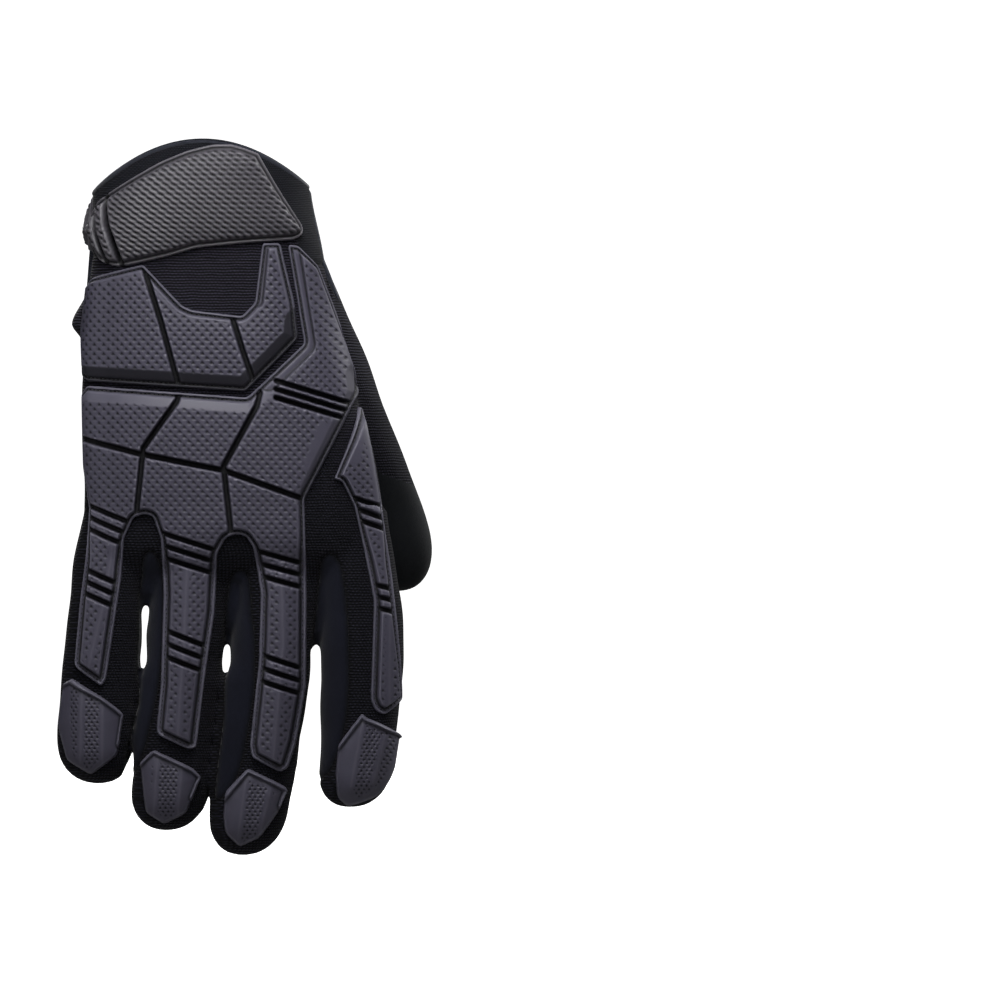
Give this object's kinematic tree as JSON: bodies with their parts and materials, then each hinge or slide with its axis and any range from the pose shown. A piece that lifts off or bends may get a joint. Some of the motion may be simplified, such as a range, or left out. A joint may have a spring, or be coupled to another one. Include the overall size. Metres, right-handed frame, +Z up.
{
  "type": "impact glove",
  "caption": "Right-hand impact work glove with a knitted back, moulded rubber back guards and fingertip shells, a leather palm and a moulded wrist strap.",
  "frame": {"origin": "centre of the wrist opening, where the glove sits on the wrist and is held", "axes": "+Z up along the forearm with the fingers pointing down, -Y is the back of the hand, +X is the thumb side"},
  "size_m": [0.1323, 0.0677, 0.2507],
  "materials": {
    "knit": "fine rib knit, near black with a blue cast",
    "side_fabric": "smooth stretch fabric, dark navy",
    "stretch": "padded stretch cuff, fine grain",
    "palm_leather": "synthetic suede, matte black",
    "grip": "granular grip coat with fine sparkle",
    "guard_rubber": "moulded thermoplastic rubber, matte dark grey",
    "strap_rubber": "moulded thermoplastic rubber with a diamond knurl",
    "tape": "woven tape, navy"
  },
  "bodies": {
    "root": {"cuff_band": "stretch", "back_panel": "knit", "palm_panel": "palm_leather", "fourchette_little_ring": "side_fabric", "fourchette_ring_middle": "side_fabric", "fourchette_middle_index": "side_fabric", "wrist_strap": "strap_rubber", "pull_loop": "tape", "hand_guard": "guard_rubber", "knuckle_guard": "guard_rubber", "index_guard": "guard_rubber", "little_cap": "guard_rubber", "ring_cap": "guard_rubber", "middle_cap": "guard_rubber", "index_cap": "guard_rubber", "thenar_pad": "palm_leather", "heel_pad": "palm_leather", "grip_patch": "grip"}
  },
  "joints": []
}
